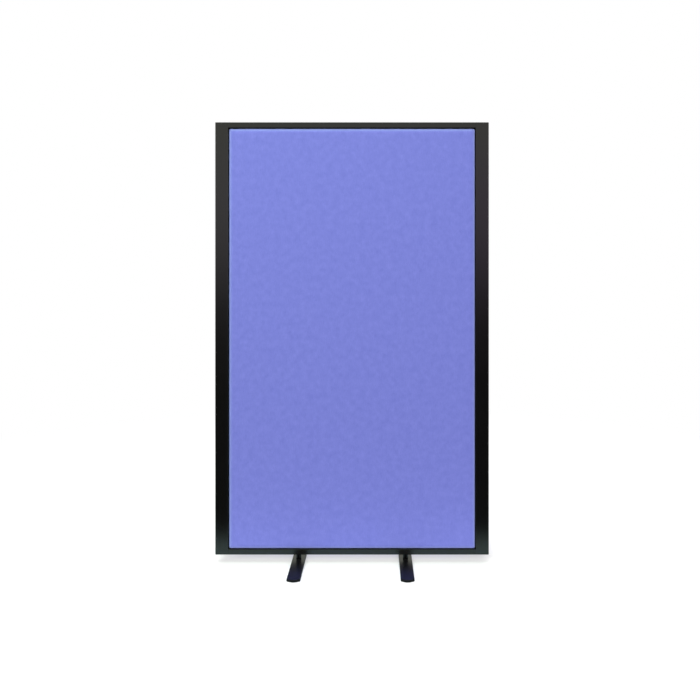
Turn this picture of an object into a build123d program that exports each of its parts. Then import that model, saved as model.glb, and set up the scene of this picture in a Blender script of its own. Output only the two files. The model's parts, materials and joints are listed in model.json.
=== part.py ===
from build123d import *
import os

# Free-standing acoustic divider screen: an extruded frame, a fabric panel and two swivel feet.
# Millimetres. X runs along the screen, the front faces -Y, and Z is up. The origin is on the floor, under
# the middle of the screen.

# Frame, outside sizes
SCREEN_WIDTH = 1000.0
FRAME_HEIGHT = 1580.0
FRAME_DEPTH = 32.0

# Stile and rail extrusions
STILE_FACE = 48.0
RAIL_FACE = 20.0
WALL = 1.8
STILE_EDGE_RADIUS = 3.0
RAIL_EDGE_RADIUS = 2.5
PANEL_EDGE_RADIUS = 0.8
CAVITY_RADIUS = 0.5
GROOVE_DEPTH = 11.0
GROOVE_WALL = 1.5
STRIP_SLOT_WIDTH = 23.4
PORT_SINK = 0.2  # how far the round screw ports reach into the walls beside them

# Panel
CORE_THICKNESS = 6.0
CORE_TONGUE = 10.0  # how far the core board reaches into each groove
CORE_PLAY = 0.5  # on each face of the core board, in its groove
FABRIC_THICKNESS = 1.0
FABRIC_RECESS = 0.5  # of the fabric's face behind the frame's face
PANEL_SIDE_GAP = 1.6  # between the fabric's sides and the stiles
PANEL_TOP_GAP = 2.8  # between the fabric's upper side and the top rail
PANEL_BOTTOM_GAP = 1.2  # between the fabric's lower side and the bottom rail
CROWN_REACH = 20.0  # width of the rounded border of each face
CROWN_DROP = 4.0  # how far the face falls away over that border
CROWN_EDGE_RADIUS = 3.0

# Screws that hold the rails between the stiles
SCREW_DIAMETER = 5.0
SCREW_HEAD_CLEARANCE = 0.1  # from the rounded corner of the cavity that the head lies in
SCREW_HEAD_HEIGHT = 3.3
SCREW_ENGAGEMENT = 14.0
SCREW_SOCKET = 4.0  # across the flats of the hexagon
SCREW_SOCKET_DEPTH = 2.0
SCREW_HOLE_CLEARANCE = 0.15
THREAD_CLEARANCE = 0.05

# End caps of the stiles
CAP_THICKNESS = 3.0
SPIGOT_DEPTH = 12.0
SPIGOT_CLEARANCE = 0.3

# Cover strips in the stiles' outer sides
STRIP_RECESS = 0.3
STRIP_CLEARANCE = 0.2
STRIP_LEG_THICKNESS = 1.2
STRIP_LEG_LENGTH = 3.0
STRIP_BARB_REACH = 0.6
STRIP_BARB_LENGTH = 1.2
STRIP_BARB_CLEARANCE = 0.2

# Feet
FOOT_LENGTH = 380.0
FOOT_WIDTH = 48.0
FOOT_THICKNESS = 8.0
FOOT_SPACING = 392.0  # between the two swivel axes
FOOT_END_BULGE = 10.0  # how far the arc of each end stands out from its corners
FOOT_CORNER_RADIUS = 3.5
FOOT_TOP_RADIUS = 2.5
FOOT_UNDER_RADIUS = 0.6
PAD_LENGTH = 60.0
PAD_WIDTH = 40.0
PAD_THICKNESS = 2.0
PAD_MARGIN = 4.0  # from the pad's end to the foot's end

# Necks, on which the frame stands on the feet
NECK_HEIGHT = 21.0
NECK_DIAMETER = 19.0
WASHER_THICKNESS = 1.0
SLEEVE_CLEARANCE = 0.2
RUNNING_CLEARANCE = 0.1  # between the foot bolt and the foot bar that turns on it

# Foot bolts
BOLT_DIAMETER = 10.0
BOLT_HEAD_DIAMETER = 20.0
BOLT_HEAD_RIM = 0.6
BOLT_HEAD_RECESS = 0.3
BOLT_SOCKET = 6.0  # across the flats of the hexagon
BOLT_SOCKET_DEPTH = 3.5
BOLT_END_CHAMFER = 1.0

# Threaded plates in the bottom rail, one over each foot
PLATE_LENGTH = 64.0
PLATE_HEADROOM = 0.2  # between the plate and the groove above it
PLATE_SIDE_CLEARANCE = 0.2
PLATE_SCREW_SPACING = 44.0
PLATE_SCREW_DIAMETER = 5.0
PLATE_SCREW_HEAD_DIAMETER = 9.5
PLATE_SCREW_HEAD_HEIGHT = 2.7
PLATE_SCREW_DOME = 1.8
PLATE_SCREW_SOCKET = 3.0  # across the flats of the hexagon
PLATE_SCREW_SOCKET_DEPTH = 1.6
PLATE_SCREW_ENGAGEMENT = 5.0

CUT_OVERRUN = 1.0  # how far each cut runs past the face that it opens
QUARTER_TURN = 90

# Places that follow from those sizes
HALF_WIDTH = SCREEN_WIDTH / 2
HALF_DEPTH = FRAME_DEPTH / 2
HALF_OPENING = HALF_WIDTH - STILE_FACE
FOOT_TOP = PAD_THICKNESS + FOOT_THICKNESS
FRAME_BOTTOM = FOOT_TOP + NECK_HEIGHT
FRAME_TOP = FRAME_BOTTOM + FRAME_HEIGHT
OPENING_BOTTOM = FRAME_BOTTOM + RAIL_FACE
OPENING_TOP = FRAME_TOP - RAIL_FACE
MIDDLE_HEIGHT = (FRAME_BOTTOM + FRAME_TOP) / 2
PANEL_BOTTOM = OPENING_BOTTOM + PANEL_BOTTOM_GAP
PANEL_TOP = OPENING_TOP - PANEL_TOP_GAP
GROOVE_HALF_WIDTH = CORE_THICKNESS / 2 + CORE_PLAY
CHANNEL_HALF_WIDTH = GROOVE_HALF_WIDTH + GROOVE_WALL
CAVITY_HALF_DEPTH = HALF_DEPTH - WALL
PORT_FIT_RADIUS = (CAVITY_HALF_DEPTH - CHANNEL_HALF_WIDTH) / 2
PORT_OFFSET = CHANNEL_HALF_WIDTH + PORT_FIT_RADIUS
PORT_HEIGHT = WALL + PORT_FIT_RADIUS
SCREW_HEAD_DIAMETER = 2 * (PORT_FIT_RADIUS - CAVITY_RADIUS - SCREW_HEAD_CLEARANCE)
PLATE_BOTTOM = FRAME_BOTTOM + WALL
PLATE_TOP = OPENING_BOTTOM - GROOVE_DEPTH - GROOVE_WALL - PLATE_HEADROOM
PLATE_WIDTH = 2 * (CAVITY_HALF_DEPTH - CAVITY_RADIUS - PLATE_SIDE_CLEARANCE)


def block(low, high):
    """A box between two opposite corners."""
    size = [b - a for a, b in zip(low, high)]
    middle = [(a + b) / 2 for a, b in zip(low, high)]
    return Pos(*middle) * Box(*size)


def rectangle(low, high):
    """A flat rectangle between two opposite corners."""
    middle = [(a + b) / 2 for a, b in zip(low, high)]
    return Pos(*middle) * Rectangle(high[0] - low[0], high[1] - low[1])


def rod(diameter, low, high):
    """A round bar on the Z axis between two heights."""
    return Pos(0, 0, (low + high) / 2) * Cylinder(diameter / 2, high - low)


def hexagon(across_flats, low, high):
    """A six-sided bar on the Z axis between two heights."""
    outline = RegularPolygon(across_flats / 2, 6, major_radius=False)
    return Pos(0, 0, low) * extrude(outline, high - low)


def hollow_section(outline, cavity, channel, groove):
    """An extrusion's section: its outline less its cavity, with the panel groove's walls left standing."""
    hollow = fillet(cavity.vertices(), CAVITY_RADIUS)
    return outline - (hollow - channel) - groove


def stile_outline():
    """The stile's outside, from its outer side at zero inwards along X."""
    whole = rectangle((0, -HALF_DEPTH), (STILE_FACE, HALF_DEPTH))
    return fillet(whole.vertices().group_by(Axis.X)[0], STILE_EDGE_RADIUS)


def stile_section():
    """The stile's section, with its panel groove and the slot that the cover strip closes."""
    outline = fillet(stile_outline().vertices().group_by(Axis.X)[-1], PANEL_EDGE_RADIUS)
    cavity = rectangle((WALL, -CAVITY_HALF_DEPTH), (STILE_FACE - WALL, CAVITY_HALF_DEPTH))
    groove_bottom = STILE_FACE - GROOVE_DEPTH
    channel = rectangle((groove_bottom - GROOVE_WALL, -CHANNEL_HALF_WIDTH), (STILE_FACE, CHANNEL_HALF_WIDTH))
    groove = rectangle((groove_bottom, -GROOVE_HALF_WIDTH), (STILE_FACE + CUT_OVERRUN, GROOVE_HALF_WIDTH))
    section = hollow_section(outline, cavity, channel, groove)
    slot = rectangle((-CUT_OVERRUN, -STRIP_SLOT_WIDTH / 2), (WALL + CAVITY_RADIUS, STRIP_SLOT_WIDTH / 2))
    return section - slot


def rail_section():
    """The rail's section, from its panel side at zero outwards, with its groove and two screw ports."""
    outline = rectangle((-HALF_DEPTH, 0), (HALF_DEPTH, RAIL_FACE))
    outline = fillet(outline.vertices().group_by(Axis.Y)[-1], RAIL_EDGE_RADIUS)
    outline = fillet(outline.vertices().group_by(Axis.Y)[0], PANEL_EDGE_RADIUS)
    cavity = rectangle((-CAVITY_HALF_DEPTH, WALL), (CAVITY_HALF_DEPTH, RAIL_FACE - WALL))
    channel = rectangle((-CHANNEL_HALF_WIDTH, 0), (CHANNEL_HALF_WIDTH, GROOVE_DEPTH + GROOVE_WALL))
    groove = rectangle((-GROOVE_HALF_WIDTH, -CUT_OVERRUN), (GROOVE_HALF_WIDTH, GROOVE_DEPTH))
    section = hollow_section(outline, cavity, channel, groove)
    for side in (-1, 1):
        place = Pos(side * PORT_OFFSET, PORT_HEIGHT)
        section += place * Circle(PORT_FIT_RADIUS + PORT_SINK)
        section -= place * Circle(SCREW_DIAMETER / 2 + THREAD_CLEARANCE)
    return section


def port_places():
    """Each screw port's depth and height, by the rail that it is in."""
    heights = {"bottom": OPENING_BOTTOM - PORT_HEIGHT, "top": OPENING_TOP + PORT_HEIGHT}
    return {rail: [(side * PORT_OFFSET, height) for side in (-1, 1)] for rail, height in heights.items()}


def left_stile():
    """The left stile, between its end caps, with a hole for each rail screw in its inner wall."""
    stile = extrude(stile_section(), FRAME_HEIGHT - 2 * CAP_THICKNESS)
    stile = Pos(-HALF_WIDTH, 0, FRAME_BOTTOM + CAP_THICKNESS) * stile
    hole = rod(SCREW_DIAMETER + 2 * SCREW_HOLE_CLEARANCE, -CUT_OVERRUN, WALL + CUT_OVERRUN)
    for places in port_places().values():
        for y, z in places:
            stile -= Pos(-HALF_OPENING - WALL, y, z) * Rot(0, QUARTER_TURN, 0) * hole
    return stile


def top_rail():
    """The top rail, between the stiles."""
    rail = extrude(Plane.YZ * rail_section(), HALF_OPENING, both=True)
    return Pos(0, 0, OPENING_TOP) * rail


def bottom_rail():
    """The top rail turned over, with holes for the foot bolts and for the plates' screws."""
    rail = mirror(top_rail(), Plane.XY.offset(MIDDLE_HEIGHT))
    low = FRAME_BOTTOM - CUT_OVERRUN
    high = PLATE_BOTTOM + CUT_OVERRUN
    for side in (-1, 1):
        rail -= foot_axis(side) * rod(BOLT_DIAMETER + 2 * SLEEVE_CLEARANCE, low, high)
        for place in plate_screw_places(side):
            rail -= place * rod(PLATE_SCREW_DIAMETER + 2 * SCREW_HOLE_CLEARANCE, low, high)
    return rail


def rail_screw():
    """A round-headed screw that points up, with the underside of its head at zero."""
    head = rod(SCREW_HEAD_DIAMETER, -SCREW_HEAD_HEIGHT, 0)
    socket = hexagon(SCREW_SOCKET, -SCREW_HEAD_HEIGHT, SCREW_SOCKET_DEPTH - SCREW_HEAD_HEIGHT)
    return head - socket + rod(SCREW_DIAMETER, 0, WALL + SCREW_ENGAGEMENT)


def left_rail_screws(rail):
    """The two screws that hold one rail to the left stile."""
    seat = -HALF_OPENING - WALL
    return [Pos(seat, y, z) * Rot(0, QUARTER_TURN, 0) * rail_screw() for y, z in port_places()[rail]]


def left_top_cap():
    """The plug of the left stile's top end: a rounded plate, and a spigot in the stile's cavity."""
    plate = extrude(stile_outline(), CAP_THICKNESS)
    upper_edges = plate.faces().sort_by(Axis.Z)[-1].edges()
    plate = fillet(upper_edges.sort_by(Axis.X)[:-1], RAIL_EDGE_RADIUS)
    spigot_start = WALL + STRIP_LEG_LENGTH + SPIGOT_CLEARANCE
    spigot_end = STILE_FACE - GROOVE_DEPTH - GROOVE_WALL - SPIGOT_CLEARANCE
    spigot_half = CAVITY_HALF_DEPTH - SPIGOT_CLEARANCE
    spigot = block((spigot_start, -spigot_half, -SPIGOT_DEPTH), (spigot_end, spigot_half, 0))
    return Pos(-HALF_WIDTH, 0, FRAME_TOP - CAP_THICKNESS) * (plate + spigot)


def left_cover_strip():
    """The strip in the left stile's outer slot: a face, and two legs whose barbs catch its lips."""
    half = STRIP_SLOT_WIDTH / 2 - STRIP_CLEARANCE
    section = rectangle((STRIP_RECESS, -half), (WALL, half))
    barb_start = WALL + STRIP_BARB_CLEARANCE
    leg = rectangle((STRIP_RECESS, half - STRIP_LEG_THICKNESS), (WALL + STRIP_LEG_LENGTH, half))
    leg += rectangle(
        (barb_start, half - STRIP_LEG_THICKNESS),
        (barb_start + STRIP_BARB_LENGTH, half + STRIP_BARB_REACH),
    )
    section += leg
    section += mirror(leg, Plane.XZ)
    strip = extrude(section, FRAME_HEIGHT - 2 * CAP_THICKNESS)
    return Pos(-HALF_WIDTH, 0, FRAME_BOTTOM + CAP_THICKNESS) * strip


def core_board():
    """The stiff board that stands on the bottom rail's groove and carries the foam on both faces."""
    reach = HALF_OPENING + CORE_TONGUE
    half = CORE_THICKNESS / 2
    return block(
        (-reach, -half, OPENING_BOTTOM - GROOVE_DEPTH),
        (reach, half, OPENING_TOP + CORE_TONGUE),
    )


def crowned_outline(half_length, back, front):
    """A flat-backed outline whose face falls away in an arc to a small round at both ends."""
    shoulder = front - CROWN_DROP
    inner = half_length - CROWN_REACH
    edges = [
        Line((inner, front), (-inner, front)),
        TangentArc((-inner, front), (-half_length, shoulder), tangent=(-1, 0)),
        Line((-half_length, shoulder), (-half_length, back)),
        Line((-half_length, back), (half_length, back)),
        Line((half_length, back), (half_length, shoulder)),
        TangentArc((inner, front), (half_length, shoulder), tangent=(1, 0)),
    ]
    outline = make_face(edges)
    shoulders = outline.vertices().group_by(Axis.Y)[1]
    return fillet(shoulders, CROWN_EDGE_RADIUS)


def crowned_pad(inset):
    """The rear padding's outside, drawn in by the inset all round and at its face."""
    half_width = HALF_OPENING - PANEL_SIDE_GAP - inset
    half_height = (PANEL_TOP - PANEL_BOTTOM) / 2 - inset
    back = CORE_THICKNESS / 2
    front = HALF_DEPTH - FABRIC_RECESS - inset
    across = extrude(crowned_outline(half_width, back, front), half_height, both=True)
    upright = crowned_outline(half_height, back, front)
    upright = extrude(Plane((0, 0, 0), x_dir=(0, 0, 1), z_dir=(-1, 0, 0)) * upright, half_width, both=True)
    return Pos(0, 0, (PANEL_BOTTOM + PANEL_TOP) / 2) * (across & upright)


def rear_foam():
    """The absorber on the core board's rear face."""
    return crowned_pad(FABRIC_THICKNESS)


def rear_fabric():
    """The fabric over the rear foam, drawn round its sides to the core board."""
    return crowned_pad(0) - rear_foam()


def foot_axis(side):
    """The place of one foot's swivel axis: -1 is the left foot and 1 the right one."""
    return Pos(side * FOOT_SPACING / 2, 0, 0)


def foot_outline():
    """The foot bar seen from above: straight sides, and an arc at each end with rounded corners."""
    half_width = FOOT_WIDTH / 2
    end = FOOT_LENGTH / 2
    corner = end - FOOT_END_BULGE
    outline = make_face([
        ThreePointArc((-half_width, -corner), (0, -end), (half_width, -corner)),
        Line((half_width, -corner), (half_width, corner)),
        ThreePointArc((half_width, corner), (0, end), (-half_width, corner)),
        Line((-half_width, corner), (-half_width, -corner)),
    ])
    return fillet(outline.vertices(), FOOT_CORNER_RADIUS)


def foot_bar():
    """The flat bar with round ends that turns on the foot bolt, which is let into its underside."""
    bar = Pos(0, 0, PAD_THICKNESS) * extrude(foot_outline(), FOOT_THICKNESS)
    bar = fillet(bar.faces().sort_by(Axis.Z)[-1].edges(), FOOT_TOP_RADIUS)
    bar = fillet(bar.faces().sort_by(Axis.Z)[0].edges(), FOOT_UNDER_RADIUS)
    return bar - bolt_shape(RUNNING_CLEARANCE, PAD_THICKNESS - CUT_OVERRUN, FOOT_TOP + CUT_OVERRUN)


def foot_pad():
    """The rubber pad with round ends under the bar's front end."""
    outline = Rot(0, 0, QUARTER_TURN) * SlotOverall(PAD_LENGTH, PAD_WIDTH)
    return Pos(0, PAD_MARGIN + (PAD_LENGTH - FOOT_LENGTH) / 2, 0) * extrude(outline, PAD_THICKNESS)


def bolt_shape(allowance, low, high):
    """The foot bolt's outside, grown by an allowance, from one height to another."""
    shank_radius = BOLT_DIAMETER / 2 + allowance
    head_radius = BOLT_HEAD_DIAMETER / 2 + allowance
    rim_top = PAD_THICKNESS + BOLT_HEAD_RECESS + BOLT_HEAD_RIM
    cone_height = head_radius - shank_radius
    rim = rod(2 * head_radius, low, rim_top)
    cone = Pos(0, 0, rim_top + cone_height / 2) * Cone(head_radius, shank_radius, cone_height)
    return rim + cone + rod(2 * shank_radius, low, high)


def foot_bolt():
    """The countersunk bolt that goes up through the foot bar and the neck into the threaded plate."""
    head_bottom = PAD_THICKNESS + BOLT_HEAD_RECESS
    bolt = bolt_shape(0, head_bottom, PLATE_TOP)
    bolt = chamfer(bolt.faces().sort_by(Axis.Z)[-1].edges(), BOLT_END_CHAMFER)
    return bolt - hexagon(BOLT_SOCKET, head_bottom, head_bottom + BOLT_SOCKET_DEPTH)


def neck_tube(low, high):
    """A tube round the foot bolt, as wide as the neck."""
    return rod(NECK_DIAMETER, low, high) - rod(BOLT_DIAMETER + 2 * SLEEVE_CLEARANCE, low, high)


def plate_screw_places(side):
    """The places of the two screws that hold one threaded plate."""
    return [foot_axis(side) * Pos(end * PLATE_SCREW_SPACING / 2, 0, 0) for end in (-1, 1)]


def threaded_plate():
    """The steel plate that lies on the bottom rail's lower wall, inside it."""
    half_length = PLATE_LENGTH / 2
    plate = block((-half_length, -PLATE_WIDTH / 2, PLATE_BOTTOM), (half_length, PLATE_WIDTH / 2, PLATE_TOP))
    plate -= rod(BOLT_DIAMETER + 2 * THREAD_CLEARANCE, PLATE_BOTTOM, PLATE_TOP)
    for end in (-1, 1):
        place = Pos(end * PLATE_SCREW_SPACING / 2, 0, 0)
        plate -= place * rod(PLATE_SCREW_DIAMETER + 2 * THREAD_CLEARANCE, PLATE_BOTTOM, PLATE_TOP)
    return plate


def plate_screw():
    """A domed screw that goes up through the bottom rail's lower wall into the threaded plate."""
    head_bottom = FRAME_BOTTOM - PLATE_SCREW_HEAD_HEIGHT
    head = rod(PLATE_SCREW_HEAD_DIAMETER, head_bottom, FRAME_BOTTOM)
    head = fillet(head.faces().sort_by(Axis.Z)[0].edges(), PLATE_SCREW_DOME)
    head -= hexagon(PLATE_SCREW_SOCKET, head_bottom, head_bottom + PLATE_SCREW_SOCKET_DEPTH)
    return head + rod(PLATE_SCREW_DIAMETER, FRAME_BOTTOM, PLATE_BOTTOM + PLATE_SCREW_ENGAGEMENT)


def write(name, *solids):
    """Writes one sub-part, which is one solid or a group of like ones."""
    shape = solids[0] if len(solids) == 1 else Compound(children=list(solids))
    export_step(shape, f"parts/{name}.step")


def write_pair(name, *solids):
    """Writes a sub-part of the left side, and its mirror image for the right side."""
    write(f"left_{name}", *solids)
    write(f"right_{name}", *[mirror(solid, Plane.YZ) for solid in solids])


def write_frame():
    """The stiles, the rails, and what joins and closes them."""
    write_pair("stile", left_stile())
    write_pair("cover_strip", left_cover_strip())
    cap = left_top_cap()
    write_pair("top_cap", cap)
    write_pair("bottom_cap", mirror(cap, Plane.XY.offset(MIDDLE_HEIGHT)))
    write("top_rail", top_rail())
    write("bottom_rail", bottom_rail())
    for rail in ("top", "bottom"):
        write_pair(f"{rail}_rail_screws", *left_rail_screws(rail))


def write_panel():
    """The core board, and the foam and fabric on each of its faces."""
    write("core_board", core_board())
    for name, piece in (("foam", rear_foam()), ("fabric", rear_fabric())):
        write(f"rear_{name}", piece)
        write(f"front_{name}", mirror(piece, Plane.XZ))


def write_feet():
    """Each foot, its neck, and what fastens them to the bottom rail."""
    washer_top = FOOT_TOP + WASHER_THICKNESS
    left = foot_axis(-1)
    pad = foot_pad()
    write_pair("foot_bar", left * foot_bar())
    write_pair("front_pad", left * pad)
    write_pair("rear_pad", left * mirror(pad, Plane.XZ))
    write_pair("glide_washer", left * neck_tube(FOOT_TOP, washer_top))
    write_pair("neck_sleeve", left * neck_tube(washer_top, FRAME_BOTTOM))
    write_pair("foot_bolt", left * foot_bolt())
    write_pair("threaded_plate", left * threaded_plate())
    write_pair("plate_screws", *[place * plate_screw() for place in plate_screw_places(-1)])


os.makedirs("parts", exist_ok=True)
write_frame()
write_panel()
write_feet()
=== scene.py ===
import json
import math

import bmesh
import bpy
from mathutils import Matrix, Vector, noise


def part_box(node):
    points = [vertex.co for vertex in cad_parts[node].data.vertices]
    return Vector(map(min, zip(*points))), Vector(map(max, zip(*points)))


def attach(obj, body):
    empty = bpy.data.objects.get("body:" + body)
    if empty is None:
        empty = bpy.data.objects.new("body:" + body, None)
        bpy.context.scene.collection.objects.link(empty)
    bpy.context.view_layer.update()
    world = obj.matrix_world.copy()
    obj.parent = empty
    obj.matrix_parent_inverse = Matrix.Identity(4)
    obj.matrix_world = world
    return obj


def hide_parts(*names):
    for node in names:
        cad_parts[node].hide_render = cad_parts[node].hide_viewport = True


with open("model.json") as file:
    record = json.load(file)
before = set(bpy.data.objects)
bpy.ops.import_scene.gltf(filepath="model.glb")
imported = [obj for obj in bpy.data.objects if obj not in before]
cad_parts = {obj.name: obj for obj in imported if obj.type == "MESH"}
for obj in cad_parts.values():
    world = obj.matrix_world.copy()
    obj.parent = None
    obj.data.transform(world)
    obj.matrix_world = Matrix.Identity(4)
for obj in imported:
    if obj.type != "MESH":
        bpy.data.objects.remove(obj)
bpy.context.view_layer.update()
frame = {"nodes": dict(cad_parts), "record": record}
nodes = frame["nodes"]

MM = 0.001
QUARTER_TURN = math.radians(90)

# The photograph's frame, and the view that was measured in it
IMAGE_SIZE = 700
SENSOR_WIDTH = 36.0
PRINCIPAL_X = 375.0
PRINCIPAL_Y = 281.0
PIXELS_PER_METRE = 273.85  # in the plane of the frame's front
CAMERA_DISTANCE = 2.66  # from that plane
CAMERA_X = 84 * MM
CAMERA_Z = 1031 * MM

# Padded panel: the cloth and the foam under it fall away to their four sides
CROWN_REACH = 20 * MM
CROWN_DROP = 4 * MM
CROWN_STATIONS = (0, 6.5, 9, 12, 16, 20)  # millimetres from the edge to each line of the grid
CENTRE_SEGMENTS_ACROSS = 44
CENTRE_SEGMENTS_UP = 76
SHOULDER_RADIUS = 5 * MM
SHOULDER_SEGMENTS = 5
CORNER_REACH = 1 * MM  # how near to a corner its upright edge lies
CLOTH_THICKNESS = 0.9 * MM
CLOTH_STAND_OFF = 0.05 * MM  # between the cloth's hem and the core board
FOAM_CLEARANCE = 0.1 * MM  # how far the pad lies inside the CAD foam
RIPPLE_HEIGHT = 0.16 * MM
RIPPLES_PER_METRE = 9.0
RIPPLE_STRETCH = 0.6  # ripples across the panel for each one up it
RIPPLE_SEEDS = {"front": 3.0, "rear": 11.0}
# Reach of the painted highlight along the cloth's edges
RIM_HIGHLIGHT_REACH = 11 * MM

# Crepe weave
YARN_PITCH = 1.3 * MM
YARN_BEND = 0.8 * YARN_PITCH
FIBRE_HEIGHT = 0.4  # against a yarn's height of 1
SLUB_STRETCH = (1.0, 0.25, 1.0)
SLUB_SHARE = 0.4
CLOUD_SHARE = 0.6
MOTTLE = 3.4
HOLLOW_SHADE_SHARE = 0.4  # of the painted shade colour between the yarns
RIM_HIGHLIGHT_SHARE = 0.8  # of the painted highlight colour at the pad's edges

# Wear, board and foam
RUB_ROUGHENING = 0.5
BOARD_FLECK_SHARE = 0.6
BOARD_SHADE_SHARE = 0.25
BOARD_ROUGHNESS = 0.72
BOARD_ROUGHNESS_CHANGE = 0.15
FOAM_ROUGHNESS = 0.95
FOAM_WALL_GLOSS = -0.1

# Linear colours
CLOTH_LIGHT = (0.202, 0.227, 0.725, 1)
CLOTH_PALE = (0.262, 0.292, 0.822, 1)
# Painted shade in the hollows between the yarns
CLOTH_HOLLOW_SHADE = (0.168, 0.186, 0.597, 1)
# Painted highlight along the cloth's edges
CLOTH_RIM_HIGHLIGHT = (0.380, 0.475, 0.900, 1)
FRAME_BLACK = (0.0031, 0.0031, 0.0030, 1)
FOOT_BLACK = (0.0030, 0.0030, 0.0036, 1)
NECK_BLACK = (0.0012, 0.0012, 0.0014, 1)
STRIP_BLACK = (0.0080, 0.0080, 0.0082, 1)
CAP_BLACK = (0.0090, 0.0090, 0.0092, 1)
NYLON_BLACK = (0.0100, 0.0100, 0.0100, 1)
RUBBER_BLACK = (0.0085, 0.0085, 0.0082, 1)
RUBBED_GREY = (0.060, 0.060, 0.062, 1)
ZINC_GREY = (0.42, 0.43, 0.44, 1)
ZINC_DULL = (0.24, 0.24, 0.23, 1)
BOARD_DARK = (0.018, 0.018, 0.022, 1)
BOARD_FLECK = (0.045, 0.042, 0.042, 1)
FOAM_GREY = (0.115, 0.115, 0.125, 1)
# Painted shade in the foam's pores
FOAM_PORE_SHADE = (0.030, 0.030, 0.034, 1)
DUST_GREY = (0.17, 0.165, 0.16, 1)
WHITE = (1, 1, 1, 1)

# Floor: how it is seen, and what light it sends back
FLOOR_SIZE = 60.0
FLOOR_SEEN = (0.55, 0.55, 0.55, 1)
FLOOR_PALE = (0.76, 0.98, 0.94, 1)
FLOOR_DULL = (0.60, 0.60, 0.60, 1)
FLOOR_DARK = (0.02, 0.02, 0.02, 1)
PALE_REACH = 0.10
DARK_REACH = 0.42
FADE_START = 1.3
FADE_END = 3.2
SCREEN_HALF_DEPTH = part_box("left_stile")[1].y
SCREEN_HALF_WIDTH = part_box("right_stile")[1].x

# The floor's own white lifts the shadow everywhere, and by further gains between two distances: from the
# screen's side, and forwards from its middle
SHADOW_LIFT = 0.33
SIDE_LIFT = {"low": -0.03, "high": 0.05, "gain": 0.34}
FRONT_LIFT = {"low": -0.068, "high": -0.015, "gain": 0.09}
FAR_LIFT = {"low": 0.0, "high": 0.12, "gain": 0.26}

# Studio round the screen, as light and as the gloss mirrors it
WORLD_STRENGTH = 0.48
GLOSS_LEFT = (1.0, 0.95, 1.0, 1)
GLOSS_RIGHT = (0.86, 0.64, 0.95, 1)
GLOSS_HIGH = (0.95, 1.0, 0.83, 1)
GLOSS_SIDE_REACH = 0.25
GLOSS_HIGH_START = 0.13
GLOSS_HIGH_END = 0.21
GLOSS_HORIZON_LOW = -0.055
GLOSS_HORIZON_HIGH = 0.068

# Sockets of the colour mix node, by number because their names repeat
MIX_FACTOR, MIX_FIRST, MIX_SECOND, MIX_RESULT = 0, 6, 7, 2

# The middle of a noise texture's range
NOISE_MIDDLE = 0.5


# Shader building blocks

def put(tree, value, socket):
    """Links a socket or sets a fixed value."""
    if isinstance(value, bpy.types.NodeSocket):
        tree.links.new(value, socket)
    else:
        socket.default_value = value


def calculate(tree, operation, *values):
    """The result of a math node on sockets or numbers."""
    node = tree.nodes.new("ShaderNodeMath")
    node.operation = operation
    for value, socket in zip(values, node.inputs):
        put(tree, value, socket)
    return node.outputs[0]


def spread_noise(tree, vector, scale, detail=3.0, roughness=0.5):
    """The value of a noise texture."""
    node = tree.nodes.new("ShaderNodeTexNoise")
    put(tree, vector, node.inputs["Vector"])
    put(tree, scale, node.inputs["Scale"])
    put(tree, detail, node.inputs["Detail"])
    put(tree, roughness, node.inputs["Roughness"])
    return node.outputs["Fac"]


def blend_colours(tree, factor, first, second, blend="MIX"):
    """The result of a colour mix."""
    node = tree.nodes.new("ShaderNodeMix")
    node.data_type = "RGBA"
    node.blend_type = blend
    put(tree, factor, node.inputs[MIX_FACTOR])
    put(tree, first, node.inputs[MIX_FIRST])
    put(tree, second, node.inputs[MIX_SECOND])
    return node.outputs[MIX_RESULT]


def strengthen(tree, colour, gain):
    """A colour multiplied by a changing value."""
    grey = tree.nodes.new("ShaderNodeCombineXYZ")
    for socket in grey.inputs:
        put(tree, gain, socket)
    return blend_colours(tree, 1.0, colour, grey.outputs[0], "MULTIPLY")


def remap(tree, value, low, high):
    """A value's place between two limits, from 0 to 1 with soft ends."""
    node = tree.nodes.new("ShaderNodeMapRange")
    node.interpolation_type = "SMOOTHSTEP"
    put(tree, value, node.inputs["Value"])
    put(tree, low, node.inputs["From Min"])
    put(tree, high, node.inputs["From Max"])
    return node.outputs["Result"]


def combine(tree, operation, first, second):
    """The result of a vector math node on two vectors."""
    node = tree.nodes.new("ShaderNodeVectorMath")
    node.operation = operation
    put(tree, first, node.inputs[0])
    put(tree, second, node.inputs[1])
    return node.outputs[0]


def split(tree, vector):
    """The X, Y and Z of a vector."""
    node = tree.nodes.new("ShaderNodeSeparateXYZ")
    put(tree, vector, node.inputs[0])
    return node.outputs


def object_place(tree):
    """The object coordinates, which are metres in the object's own frame."""
    return tree.nodes.new("ShaderNodeTexCoord").outputs["Object"]


# Effects that several materials share

def new_group(name, inputs, outputs):
    """An empty node group with named sockets, its inputs by name, and its output node."""
    group = bpy.data.node_groups.new(name, "ShaderNodeTree")
    for label, (kind, value) in inputs.items():
        group.interface.new_socket(label, in_out="INPUT", socket_type=kind).default_value = value
    for label, kind in outputs.items():
        group.interface.new_socket(label, in_out="OUTPUT", socket_type=kind)
    given = group.nodes.new("NodeGroupInput").outputs
    return group, given, group.nodes.new("NodeGroupOutput").inputs


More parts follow.
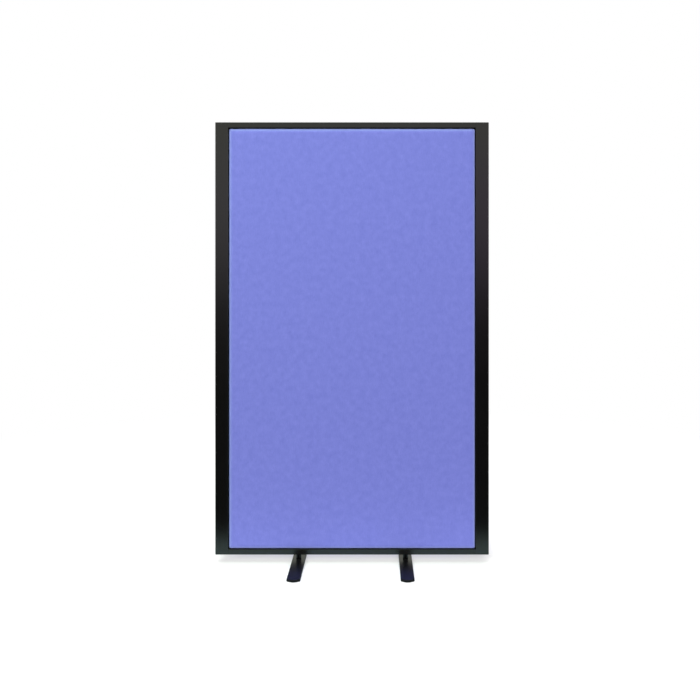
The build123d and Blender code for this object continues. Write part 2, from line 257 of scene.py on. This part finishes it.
def make_patina():
    """Slow changes of tone and gloss over a hard surface, and dust on what faces up."""
    group, given, result = new_group(
        "patina",
        {
            "Color": ("NodeSocketColor", FRAME_BLACK),
            "Patches Per Metre": ("NodeSocketFloat", 12.0),
            "Tone Change": ("NodeSocketFloat", 0.3),
            "Dust": ("NodeSocketFloat", 0.05),
            "Roughness": ("NodeSocketFloat", 0.35),
            "Roughness Change": ("NodeSocketFloat", 0.1),
        },
        {"Color": "NodeSocketColor", "Roughness": "NodeSocketFloat"},
    )
    place = object_place(group)
    patches = spread_noise(group, place, given["Patches Per Metre"], detail=4.0, roughness=0.55)
    swing = calculate(group, "SUBTRACT", patches, NOISE_MIDDLE)
    gain = calculate(group, "MULTIPLY_ADD", swing, given["Tone Change"], 1.0)
    toned = strengthen(group, given["Color"], gain)
    normal = split(group, group.nodes.new("ShaderNodeNewGeometry").outputs["Normal"])
    upward = remap(group, normal["Z"], low=0.2, high=1.0)
    grit = spread_noise(group, place, scale=380.0, detail=5.0, roughness=0.7)
    specks = remap(group, grit, low=0.42, high=0.72)
    dust = calculate(group, "MULTIPLY", calculate(group, "MULTIPLY", upward, specks), given["Dust"])
    put(group, blend_colours(group, dust, toned, DUST_GREY), result["Color"])
    rough = calculate(group, "MULTIPLY_ADD", swing, given["Roughness Change"], given["Roughness"])
    put(group, calculate(group, "ADD", rough, dust), result["Roughness"])
    return group


def make_grain():
    """The height of a coating's or moulding's fine grain over a slower waviness."""
    group, given, result = new_group(
        "surface_grain",
        {
            "Grains Per Metre": ("NodeSocketFloat", 900.0),
            "Waves Per Metre": ("NodeSocketFloat", 90.0),
            "Wave Share": ("NodeSocketFloat", 0.3),
        },
        {"Height": "NodeSocketFloat"},
    )
    place = object_place(group)
    grain = spread_noise(group, place, given["Grains Per Metre"], detail=2.0)
    wave = spread_noise(group, place, given["Waves Per Metre"], detail=1.0)
    put(group, calculate(group, "MULTIPLY_ADD", wave, given["Wave Share"], grain), result["Height"])
    return group


def make_edge_rub():
    """Where a bar's long edges are rubbed: a broken mask along the edges of its box."""
    group, given, result = new_group(
        "edge_rub",
        {
            "Low": ("NodeSocketVector", (0, 0, 0)),
            "High": ("NodeSocketVector", (1, 1, 1)),
            "Width": ("NodeSocketFloat", 3 * MM),
        },
        {"Mask": "NodeSocketFloat"},
    )
    place = object_place(group)
    from_low = combine(group, "SUBTRACT", place, given["Low"])
    from_high = combine(group, "SUBTRACT", given["High"], place)
    x, y, z = split(group, combine(group, "MINIMUM", from_low, from_high))
    pairs = [calculate(group, "MAXIMUM", first, second) for first, second in ((x, y), (y, z), (x, z))]
    edge = calculate(group, "MINIMUM", calculate(group, "MINIMUM", pairs[0], pairs[1]), pairs[2])
    near = calculate(group, "SUBTRACT", 1.0, remap(group, edge, low=0.0, high=given["Width"]))
    scuffs = spread_noise(group, place, scale=45.0, detail=6.0, roughness=0.68)
    broken = remap(group, scuffs, low=0.47, high=0.66)
    put(group, calculate(group, "MULTIPLY", near, broken), result["Mask"])
    return group


def make_weave():
    """A plain weave of uneven crepe yarns, on the cloth's own flat pattern: colour, with painted shade
    between the yarns and a painted highlight at the pad's edges, and height.
    """
    group, given, result = new_group(
        "crepe_weave",
        {
            "Light Color": ("NodeSocketColor", CLOTH_LIGHT),
            "Pale Color": ("NodeSocketColor", CLOTH_PALE),
            "Deep Color": ("NodeSocketColor", CLOTH_HOLLOW_SHADE),
            "Pulled Color": ("NodeSocketColor", CLOTH_RIM_HIGHLIGHT),
            "Yarns Per Metre": ("NodeSocketFloat", 1 / YARN_PITCH),
            "Mottle": ("NodeSocketFloat", MOTTLE),
            "Pull": ("NodeSocketFloat", 0.0),
        },
        {"Color": "NodeSocketColor", "Height": "NodeSocketFloat"},
    )
    flat = group.nodes.new("ShaderNodeUVMap")
    flat.uv_map = "cloth"
    flat = flat.outputs["UV"]

    # Yarns that wander a little
    wander = group.nodes.new("ShaderNodeTexNoise")
    put(group, flat, wander.inputs["Vector"])
    put(group, 180.0, wander.inputs["Scale"])
    bent = group.nodes.new("ShaderNodeVectorMath")
    bent.operation = "MULTIPLY_ADD"
    put(group, wander.outputs["Color"], bent.inputs[0])
    put(group, (YARN_BEND,) * 3, bent.inputs[1])
    put(group, flat, bent.inputs[2])
    thread = split(group, bent.outputs[0])
    across = calculate(group, "MULTIPLY", thread["X"], given["Yarns Per Metre"])
    along = calculate(group, "MULTIPLY", thread["Y"], given["Yarns Per Metre"])
    arches = [
        calculate(group, "ABSOLUTE", calculate(group, "SINE", calculate(group, "MULTIPLY", count, math.pi)))
        for count in (across, along)
    ]

    # Each yarn lies over and under the other ones in turn
    cell = calculate(group, "ADD", calculate(group, "FLOOR", across), calculate(group, "FLOOR", along))
    over = calculate(group, "PINGPONG", cell, 1.0)
    under = calculate(group, "SUBTRACT", 1.0, over)
    weft = calculate(group, "MULTIPLY", arches[1], under)
    yarns = calculate(group, "MULTIPLY_ADD", arches[0], over, weft)
    fibres = spread_noise(group, flat, scale=2400.0, detail=3.0, roughness=0.6)
    put(group, calculate(group, "MULTIPLY_ADD", fibres, FIBRE_HEIGHT, yarns), result["Height"])

    # Slubs and clouds in the dye, and painted shade between the yarns
    drawn = group.nodes.new("ShaderNodeMapping")
    put(group, SLUB_STRETCH, drawn.inputs["Scale"])
    put(group, flat, drawn.inputs["Vector"])
    slubs = spread_noise(group, drawn.outputs[0], scale=230.0, detail=4.0, roughness=0.6)
    clouds = spread_noise(group, flat, scale=42.0, detail=6.0, roughness=0.66)
    cloudy = calculate(group, "MULTIPLY", clouds, CLOUD_SHARE)
    dye = calculate(group, "MULTIPLY_ADD", slubs, SLUB_SHARE, cloudy)
    swing = calculate(group, "SUBTRACT", dye, NOISE_MIDDLE)
    tone = calculate(group, "MULTIPLY_ADD", swing, given["Mottle"], NOISE_MIDDLE)
    toned = blend_colours(group, tone, given["Light Color"], given["Pale Color"])
    hollow_shade = calculate(group, "MULTIPLY", calculate(group, "SUBTRACT", 1.0, yarns), HOLLOW_SHADE_SHARE)
    woven = blend_colours(group, hollow_shade, toned, given["Deep Color"])
    # A painted highlight along the pad's edges
    put(group, blend_colours(group, given["Pull"], woven, given["Pulled Color"]), result["Color"])
    return group


patina = make_patina()
surface_grain = make_grain()
edge_rub = make_edge_rub()
crepe_weave = make_weave()


# Materials

def new_material(name):
    """A material with one Principled shader: the material, its tree and the shader's inputs."""
    material = bpy.data.materials.new(name)
    material.use_nodes = True
    tree = material.node_tree
    tree.nodes.clear()
    output = tree.nodes.new("ShaderNodeOutputMaterial")
    shader = tree.nodes.new("ShaderNodeBsdfPrincipled")
    tree.links.new(shader.outputs[0], output.inputs["Surface"])
    return material, tree, shader.inputs


def use_group(tree, group, **values):
    """A node group placed in a material with its own values; an underscore stands for a space."""
    node = tree.nodes.new("ShaderNodeGroup")
    node.node_tree = group
    for label, value in values.items():
        put(tree, value, node.inputs[label.replace("_", " ")])
    return node.outputs


def raise_surface(tree, shader, height, strength, distance):
    """Feeds a height to the shader's normal."""
    bump = tree.nodes.new("ShaderNodeBump")
    put(tree, strength, bump.inputs["Strength"])
    put(tree, distance, bump.inputs["Distance"])
    put(tree, height, bump.inputs["Height"])
    put(tree, bump.outputs["Normal"], shader["Normal"])


def coated_bar(name, node, colour, tones, grain, bump, rub, specular):
    """A coated bar of the frame or a foot, rubbed a little along the edges of its own box."""
    material, tree, shader = new_material(name)
    tone = use_group(tree, patina, Color=colour, **tones)
    low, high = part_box(node)
    worn = use_group(tree, edge_rub, Low=tuple(low), High=tuple(high))["Mask"]
    share = calculate(tree, "MULTIPLY", worn, rub)
    put(tree, blend_colours(tree, share, tone["Color"], RUBBED_GREY), shader["Base Color"])
    rough = calculate(tree, "MULTIPLY_ADD", worn, RUB_ROUGHENING * rub, tone["Roughness"])
    put(tree, rough, shader["Roughness"])
    put(tree, specular, shader["Specular IOR Level"])
    raise_surface(tree, shader, use_group(tree, surface_grain, **grain)["Height"], *bump)
    return material


def plain_finish(name, colour, tones, grain, bump, specular=0.5):
    """A moulded or bare surface with its tone, dust and grain."""
    material, tree, shader = new_material(name)
    tone = use_group(tree, patina, Color=colour, **tones)
    put(tree, tone["Color"], shader["Base Color"])
    put(tree, tone["Roughness"], shader["Roughness"])
    put(tree, specular, shader["Specular IOR Level"])
    raise_surface(tree, shader, use_group(tree, surface_grain, **grain)["Height"], *bump)
    return material


def zinc_finish():
    """Zinc-plated steel with dull patches."""
    material, tree, shader = new_material("zinc_plate")
    tone = use_group(
        tree, patina, Color=ZINC_GREY, Patches_Per_Metre=90.0, Tone_Change=0.25, Dust=0.0,
        Roughness=0.32, Roughness_Change=0.25,
    )
    bloom = spread_noise(tree, object_place(tree), scale=240.0, detail=4.0, roughness=0.6)
    dull = remap(tree, bloom, low=0.45, high=0.7)
    put(tree, blend_colours(tree, dull, tone["Color"], ZINC_DULL), shader["Base Color"])
    put(tree, tone["Roughness"], shader["Roughness"])
    put(tree, 1.0, shader["Metallic"])
    grain = use_group(tree, surface_grain, Grains_Per_Metre=1500.0, Waves_Per_Metre=300.0, Wave_Share=0.4)
    raise_surface(tree, shader, grain["Height"], strength=0.15, distance=0.05 * MM)
    return material


def board_finish():
    """Fibreboard dyed dark: paler flecks in dark fibres."""
    material, tree, shader = new_material("fibreboard")
    place = object_place(tree)
    fibres = spread_noise(tree, place, scale=520.0, detail=5.0, roughness=0.7)
    flecks = remap(tree, fibres, low=0.5, high=0.72)
    shades = spread_noise(tree, place, scale=30.0, detail=4.0, roughness=0.6)
    cloudy = calculate(tree, "MULTIPLY", shades, BOARD_SHADE_SHARE)
    fleck_share = calculate(tree, "MULTIPLY_ADD", flecks, BOARD_FLECK_SHARE, cloudy)
    put(tree, blend_colours(tree, fleck_share, BOARD_DARK, BOARD_FLECK), shader["Base Color"])
    rough = calculate(tree, "MULTIPLY_ADD", shades, BOARD_ROUGHNESS_CHANGE, BOARD_ROUGHNESS)
    put(tree, rough, shader["Roughness"])
    grain = use_group(tree, surface_grain, Grains_Per_Metre=1200.0, Waves_Per_Metre=200.0, Wave_Share=0.5)
    raise_surface(tree, shader, grain["Height"], strength=0.3, distance=0.2 * MM)
    return material


def foam_finish():
    """Open-cell acoustic foam: grey cell walls round pores darkened by painted shade."""
    material, tree, shader = new_material("open_cell_foam")
    cells = tree.nodes.new("ShaderNodeTexVoronoi")
    cells.feature = "DISTANCE_TO_EDGE"
    put(tree, object_place(tree), cells.inputs["Vector"])
    put(tree, 620.0, cells.inputs["Scale"])
    wall = calculate(tree, "SUBTRACT", 1.0, remap(tree, cells.outputs["Distance"], low=0.02, high=0.22))
    # The pores get painted shade
    put(tree, blend_colours(tree, wall, FOAM_PORE_SHADE, FOAM_GREY), shader["Base Color"])
    put(tree, calculate(tree, "MULTIPLY_ADD", wall, FOAM_WALL_GLOSS, FOAM_ROUGHNESS), shader["Roughness"])
    put(tree, 0.2, shader["Specular IOR Level"])
    raise_surface(tree, shader, wall, strength=0.8, distance=0.6 * MM)
    return material


def cloth_finish():
    """Periwinkle crepe cloth with a soft sheen, and a painted highlight along the pad's edges."""
    material, tree, shader = new_material("periwinkle_crepe")
    rim_highlight = tree.nodes.new("ShaderNodeAttribute")
    rim_highlight.attribute_name = "rim_highlight"
    weave = use_group(
        tree, crepe_weave, Light_Color=CLOTH_LIGHT, Pale_Color=CLOTH_PALE, Deep_Color=CLOTH_HOLLOW_SHADE,
        Pulled_Color=CLOTH_RIM_HIGHLIGHT, Yarns_Per_Metre=1 / YARN_PITCH, Mottle=MOTTLE,
        Pull=calculate(tree, "MULTIPLY", rim_highlight.outputs["Fac"], RIM_HIGHLIGHT_SHARE),
    )
    put(tree, weave["Color"], shader["Base Color"])
    put(tree, 0.9, shader["Roughness"])
    put(tree, 0.15, shader["Specular IOR Level"])
    put(tree, 0.25, shader["Sheen Weight"])
    put(tree, 0.35, shader["Sheen Roughness"])
    raise_surface(tree, shader, weave["Height"], strength=0.35, distance=0.2 * MM)
    return material


# Tones and grains by the inputs of their groups, and bumps by strength and distance
SATIN = {
    "Patches_Per_Metre": 7.0, "Tone_Change": 0.5, "Dust": 0.04, "Roughness": 0.20, "Roughness_Change": 0.06,
}
GLOSS = {
    "Patches_Per_Metre": 16.0, "Tone_Change": 0.4, "Dust": 0.02, "Roughness": 0.34, "Roughness_Change": 0.08,
}
MATTE = {
    "Patches_Per_Metre": 25.0, "Tone_Change": 0.4, "Dust": 0.08, "Roughness": 0.48, "Roughness_Change": 0.12,
}
POWDER = {"Grains_Per_Metre": 1100.0, "Waves_Per_Metre": 220.0, "Wave_Share": 0.5}
MOULDED = {"Grains_Per_Metre": 1700.0, "Waves_Per_Metre": 60.0, "Wave_Share": 0.2}

finishes = {
    "cover_strip_plastic": plain_finish("strip_plastic", STRIP_BLACK, MATTE, MOULDED, bump=(0.2, 0.1 * MM)),
    "cap_plastic": plain_finish("cap_plastic", CAP_BLACK, MATTE, MOULDED, bump=(0.3, 0.1 * MM)),
    "zinc_steel": zinc_finish(),
    "core_fibreboard": board_finish(),
    "acoustic_foam": foam_finish(),
    "panel_fabric": cloth_finish(),
    "glide_nylon": plain_finish("glide_nylon", NYLON_BLACK, SATIN, MOULDED, bump=(0.1, 0.05 * MM)),
    "pad_rubber": plain_finish(
        "pad_rubber", RUBBER_BLACK, MATTE, MOULDED, bump=(0.5, 0.2 * MM), specular=0.3,
    ),
}
coatings = {
    "frame_coating": {
        "colour": FRAME_BLACK, "tones": SATIN, "bump": (0.06, 0.05 * MM), "rub": 0.10, "specular": 0.53,
    },
    "foot_coating": {
        "colour": FOOT_BLACK, "tones": GLOSS, "bump": (0.03, 0.04 * MM), "rub": 0.25, "specular": 0.22,
    },
    "neck_coating": {
        "colour": NECK_BLACK, "tones": SATIN, "bump": (0.05, 0.05 * MM), "rub": 0.15, "specular": 0.12,
    },
}

for subpart in frame["record"]["subparts"]:
    node, material_slot = subpart["node"], subpart["material_slot"]
    mesh = nodes[node].data
    mesh.materials.clear()
    if material_slot in coatings:
        mesh.materials.append(coated_bar(f"{node}_coating", node, grain=POWDER, **coatings[material_slot]))
    else:
        mesh.materials.append(finishes[material_slot])


# The padded panel's foam and cloth

def crown_fall(distance):
    """How far a crowned face lies below its middle, at a distance from its edge."""
    short = max(0.0, CROWN_REACH - distance)
    radius = (CROWN_REACH ** 2 + CROWN_DROP ** 2) / (2 * CROWN_DROP)
    return radius - math.sqrt(radius ** 2 - short ** 2)


def graded_stations(half, centre_segments):
    """Places from edge to edge, close together over the crown and even over the middle."""
    edge = [half - station * MM for station in CROWN_STATIONS]
    inner = edge[-1]
    middle = [inner * (1 - 2 * step / centre_segments) for step in range(1, centre_segments)]
    return [-place for place in edge] + [-place for place in middle] + edge[::-1]


def settle_order(mesh):
    """Puts edges and faces in the order of their points, as a bevel's own order changes from run to run."""
    mesh.verts.index_update()
    for parts in (mesh.edges, mesh.faces):
        ordered = sorted(parts, key=lambda part: sorted(vertex.index for vertex in part.verts))
        for index, part in enumerate(ordered):
            part.index = index
        parts.sort()


def crowned_shell(half_width, half_height, height):
    """A crowned face with rounded shoulders and four sides, lying in XY with its open back at Z 0."""
    across = graded_stations(half_width, CENTRE_SEGMENTS_ACROSS)
    upward = graded_stations(half_height, CENTRE_SEGMENTS_UP)
    columns, rows = len(across) - 1, len(upward) - 1
    half_grid = 0.5
    mesh = bmesh.new()
    bmesh.ops.create_grid(mesh, x_segments=columns, y_segments=rows, size=half_grid)
    for vertex in mesh.verts:
        x = across[round((vertex.co.x + half_grid) * columns)]
        y = upward[round((vertex.co.y + half_grid) * rows)]
        fall = math.hypot(crown_fall(half_width - abs(x)), crown_fall(half_height - abs(y)))
        vertex.co = Vector((x, y, height - fall))
    rim = [edge for edge in mesh.edges if edge.is_boundary]
    sides = bmesh.ops.extrude_edge_only(mesh, edges=rim)["geom"]
    for vertex in (item for item in sides if isinstance(item, bmesh.types.BMVert)):
        vertex.co.z = 0
    bmesh.ops.recalc_face_normals(mesh, faces=mesh.faces)

    def at_corner(vertex):
        return abs(vertex.co.x) > half_width - CORNER_REACH and abs(vertex.co.y) > half_height - CORNER_REACH

    corners = [edge for edge in mesh.edges if not edge.is_boundary and all(map(at_corner, edge.verts))]
    bmesh.ops.bevel(
        mesh, geom=rim + corners, offset=SHOULDER_RADIUS, offset_type="OFFSET", segments=SHOULDER_SEGMENTS,
        profile=0.5, affect="EDGES", material=-1, clamp_overlap=True,
    )
    settle_order(mesh)
    return mesh


def ripple(mesh, seed):
    """Very slow unevenness of a stretched face, which dies out over the crown."""
    middle = max(vertex.co.z for vertex in mesh.verts)
    for vertex in mesh.verts:
        if vertex.co.z < middle - CROWN_DROP:
            continue
        place = Vector((vertex.co.x * RIPPLE_STRETCH, vertex.co.y, seed)) * RIPPLES_PER_METRE
        level = 1 - (middle - vertex.co.z) / CROWN_DROP
        vertex.co.z += level * RIPPLE_HEIGHT * (noise.noise(place) - 1)


def lay_out_cloth(mesh, half_width, half_height):
    """The cloth's flat pattern as a UV map in metres: the face as it is, the sides folded out."""
    pattern = mesh.loops.layers.uv.new("cloth")
    shoulder = max(vertex.co.z for vertex in mesh.verts) - CROWN_DROP
    for face in mesh.faces:
        sideways = abs(face.normal.x) > abs(face.normal.y)
        for loop in face.loops:
            x, y, z = loop.vert.co
            folded = max(0.0, shoulder - z)
            if sideways:
                x += math.copysign(folded, x)
            else:
                y += math.copysign(folded, y)
            loop[pattern].uv = (x + half_width, y + half_height)


def mark_rim_highlight(mesh, half_width, half_height):
    """The share of a painted highlight on the cloth, from 1 at the pad's edges and sides to 0 within a short
    reach.
    """
    rim_highlight = mesh.verts.layers.float.new("rim_highlight")
    for vertex in mesh.verts:
        inward = min(half_width - abs(vertex.co.x), half_height - abs(vertex.co.y))
        vertex[rim_highlight] = max(0.0, 1 - inward / RIM_HIGHLIGHT_REACH)


def stand_up(mesh, node, facing):
    """Turns a piece that lies in XY upright, to face front or rear, in front of the core board."""
    low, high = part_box(node)
    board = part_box("core_board")
    back = board[0].y if facing == "front" else board[1].y
    turn = Matrix.Rotation(QUARTER_TURN, 4, "X")
    if facing == "rear":
        turn = Matrix.Rotation(2 * QUARTER_TURN, 4, "Z") @ turn
    place = Matrix.Translation(((low.x + high.x) / 2, back, (low.z + high.z) / 2))
    bmesh.ops.transform(mesh, matrix=place @ turn, verts=mesh.verts)


def make_object(name, mesh, material):
    """The bmesh as an object in the scene, in one material."""
    data = bpy.data.meshes.new(name)
    mesh.to_mesh(data)
    mesh.free()
    data.materials.append(material)
    piece = bpy.data.objects.new(name, data)
    bpy.context.scene.collection.objects.link(piece)
    return piece


def finish_piece(name, mesh, body, material_slot, node):
    """The bmesh as a smooth object that rides on a body and stands for a CAD node."""
    piece = make_object(name, mesh, finishes[material_slot])
    piece.data.polygons.foreach_set("use_smooth", [True] * len(piece.data.polygons))
    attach(piece, body)
    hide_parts(node)
    return piece


def make_foam(facing):
    """The acoustic foam of one face, a crowned pad."""
    node = f"{facing}_foam"
    low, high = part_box(node)
    inset = FOAM_CLEARANCE
    height = high.y - low.y - inset
    mesh = crowned_shell((high.x - low.x) / 2 - inset, (high.z - low.z) / 2 - inset, height)
    bmesh.ops.holes_fill(mesh, edges=[edge for edge in mesh.edges if edge.is_boundary], sides=0)
    bmesh.ops.recalc_face_normals(mesh, faces=mesh.faces)
    settle_order(mesh)
    stand_up(mesh, node, facing)
    foam = finish_piece(f"{facing}_foam_pad", mesh, "frame", "acoustic_foam", node)
    return foam


def make_cloth(facing):
    """The cloth of one face, stretched over its foam pad and down the pad's four sides."""
    node = f"{facing}_fabric"
    low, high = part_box(node)
    half_width, half_height = (high.x - low.x) / 2, (high.z - low.z) / 2
    depth = high.y - low.y
    mesh = crowned_shell(half_width, half_height, depth)
    for vertex in mesh.verts:
        vertex.co.z = max(vertex.co.z, CLOTH_STAND_OFF)
    ripple(mesh, RIPPLE_SEEDS[facing])
    lay_out_cloth(mesh, half_width, half_height)
    mark_rim_highlight(mesh, half_width, half_height)
    stand_up(mesh, node, facing)
    cloth = finish_piece(f"{facing}_cloth", mesh, "frame", "panel_fabric", node)
    wall = cloth.modifiers.new("cloth_thickness", "SOLIDIFY")
    wall.thickness = CLOTH_THICKNESS
    wall.offset = -1
    return cloth


for facing in ("front", "rear"):
    make_foam(facing)
    make_cloth(facing)


# Floor, light and camera

def plain_shader(tree, kind, colour, strength=None):
    """A diffuse, emission or background shader of one colour."""
    node = tree.nodes.new(kind)
    put(tree, colour, node.inputs["Color"])
    if strength is not None:
        put(tree, strength, node.inputs["Strength"])
    return node.outputs[0]


def mix_shaders(tree, factor, first, second):
    """A mix of two shaders."""
    node = tree.nodes.new("ShaderNodeMixShader")
    put(tree, factor, node.inputs[0])
    put(tree, first, node.inputs[1])
    put(tree, second, node.inputs[2])
    return node.outputs[0]


def add_lift(tree, lift, place, low, high, gain):
    """A lift that grows by a gain between two places."""
    return calculate(tree, "MULTIPLY_ADD", remap(tree, place, low, high), gain, lift)


def floor_material():
    """A pale floor that fades into the white background, and sends light back only near the screen."""
    material = bpy.data.materials.new("pale_floor")
    material.use_nodes = True
    tree = material.node_tree
    tree.nodes.clear()
    output = tree.nodes.new("ShaderNodeOutputMaterial")
    path = tree.nodes.new("ShaderNodeLightPath").outputs
    place = object_place(tree)
    spot = split(tree, place)
    beside = calculate(tree, "SUBTRACT", calculate(tree, "ABSOLUTE", spot["X"]), SCREEN_HALF_WIDTH)
    in_front = calculate(tree, "MULTIPLY", spot["Y"], -1.0)
    lift = add_lift(tree, SHADOW_LIFT, beside, **SIDE_LIFT)
    lift = add_lift(tree, lift, in_front, **FRONT_LIFT)
    lift = add_lift(tree, lift, in_front, **FAR_LIFT)
    lifted = tree.nodes.new("ShaderNodeAddShader")
    put(tree, plain_shader(tree, "ShaderNodeBsdfDiffuse", FLOOR_SEEN), lifted.inputs[0])
    put(tree, plain_shader(tree, "ShaderNodeEmission", WHITE, lift), lifted.inputs[1])
    reach = tree.nodes.new("ShaderNodeVectorMath")
    reach.operation = "LENGTH"
    put(tree, place, reach.inputs[0])
    far = remap(tree, reach.outputs["Value"], FADE_START, FADE_END)
    white = plain_shader(tree, "ShaderNodeEmission", WHITE, 1.0)
    seen = mix_shaders(tree, far, lifted.outputs[0], white)
    away = calculate(tree, "SUBTRACT", calculate(tree, "ABSOLUTE", spot["Y"]), SCREEN_HALF_DEPTH)
    dark = plain_shader(tree, "ShaderNodeBsdfDiffuse", FLOOR_DARK)
    pale = plain_shader(tree, "ShaderNodeBsdfDiffuse", FLOOR_PALE)
    dull = plain_shader(tree, "ShaderNodeBsdfDiffuse", FLOOR_DULL)
    near = mix_shaders(tree, path["Is Glossy Ray"], dull, pale)
    unseen = mix_shaders(tree, remap(tree, away, PALE_REACH, DARK_REACH), near, dark)
    put(tree, mix_shaders(tree, path["Is Camera Ray"], unseen, seen), output.inputs["Surface"])
    return material


def make_floor():
    """The floor, under the pads."""
    mesh = bmesh.new()
    bmesh.ops.create_grid(mesh, x_segments=1, y_segments=1, size=FLOOR_SIZE / 2)
    floor = make_object("floor", mesh, floor_material())


def make_world():
    """A white background, a weaker even light, and a tinted studio that only the gloss mirrors."""
    world = bpy.data.worlds.new("white_studio")
    bpy.context.scene.world = world
    world.use_nodes = True
    tree = world.node_tree
    tree.nodes.clear()
    output = tree.nodes.new("ShaderNodeOutputWorld")
    path = tree.nodes.new("ShaderNodeLightPath").outputs
    way = split(tree, tree.nodes.new("ShaderNodeTexCoord").outputs["Generated"])
    height = remap(tree, way["Z"], GLOSS_HORIZON_LOW, GLOSS_HORIZON_HIGH)
    light = plain_shader(tree, "ShaderNodeBackground", WHITE, WORLD_STRENGTH)
    white = plain_shader(tree, "ShaderNodeBackground", WHITE, 1.0)
    side = remap(tree, way["X"], -GLOSS_SIDE_REACH, GLOSS_SIDE_REACH)
    high = remap(tree, way["Z"], GLOSS_HIGH_START, GLOSS_HIGH_END)
    tint = blend_colours(tree, high, blend_colours(tree, side, GLOSS_LEFT, GLOSS_RIGHT), GLOSS_HIGH)
    mirrored = plain_shader(tree, "ShaderNodeBackground", tint, height)
    unseen = mix_shaders(tree, path["Is Glossy Ray"], light, mirrored)
    seen = calculate(tree, "MAXIMUM", path["Is Camera Ray"], path["Is Transmission Ray"])
    put(tree, mix_shaders(tree, seen, unseen, white), output.inputs["Surface"])


def soft_lamp(name, place, target, width, height, power, colour):
    """A soft rectangular lamp that faces a point."""
    lamp = bpy.data.lights.new(name, "AREA")
    lamp.shape = "RECTANGLE"
    lamp.size = width
    lamp.size_y = height
    lamp.energy = power
    lamp.color = colour
    holder = bpy.data.objects.new(name, lamp)
    holder.visible_glossy = False
    holder.location = place
    aim = Vector(target) - Vector(place)
    holder.rotation_euler = aim.to_track_quat("-Z", "Y").to_euler()
    bpy.context.scene.collection.objects.link(holder)


def make_camera():
    """The photograph's viewpoint: level, with the frame shifted sideways and down."""
    camera = bpy.data.cameras.new("camera")
    camera.sensor_width = SENSOR_WIDTH
    camera.lens = PIXELS_PER_METRE * CAMERA_DISTANCE / IMAGE_SIZE * SENSOR_WIDTH
    camera.shift_x = (IMAGE_SIZE / 2 - PRINCIPAL_X) / IMAGE_SIZE
    camera.shift_y = (PRINCIPAL_Y - IMAGE_SIZE / 2) / IMAGE_SIZE
    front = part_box("left_stile")[0].y
    holder = bpy.data.objects.new("camera", camera)
    holder.location = (CAMERA_X, front - CAMERA_DISTANCE, CAMERA_Z)
    holder.rotation_euler = (QUARTER_TURN, 0, 0)
    bpy.context.scene.collection.objects.link(holder)
    bpy.context.scene.camera = holder


make_floor()
make_world()
soft_lamp(
    "overhead", place=(-1.6, -2.2, 5.8), target=(0.0, 0.0, 0.9), width=4.0, height=3.0, power=194.0,
    colour=(0.86, 1.0, 0.87),
)
soft_lamp(
    "key", place=(-2.3, -3.8, 2.4), target=(0.0, 0.0, 0.7), width=2.2, height=2.0, power=86.0,
    colour=(0.94, 1.0, 0.93),
)
soft_lamp(
    "fill", place=(2.6, -3.8, 0.9), target=(0.0, 0.0, 0.6), width=2.4, height=1.6, power=46.0,
    colour=(1.0, 0.82, 1.0),
)
soft_lamp(
    "rear_fill", place=(0.6, 4.2, 1.2), target=(0.0, 0.0, 0.9), width=2.6, height=2.2, power=115.0,
    colour=(1.0, 1.0, 1.0),
)
make_camera()
bpy.context.scene.view_settings.view_transform = "Standard"
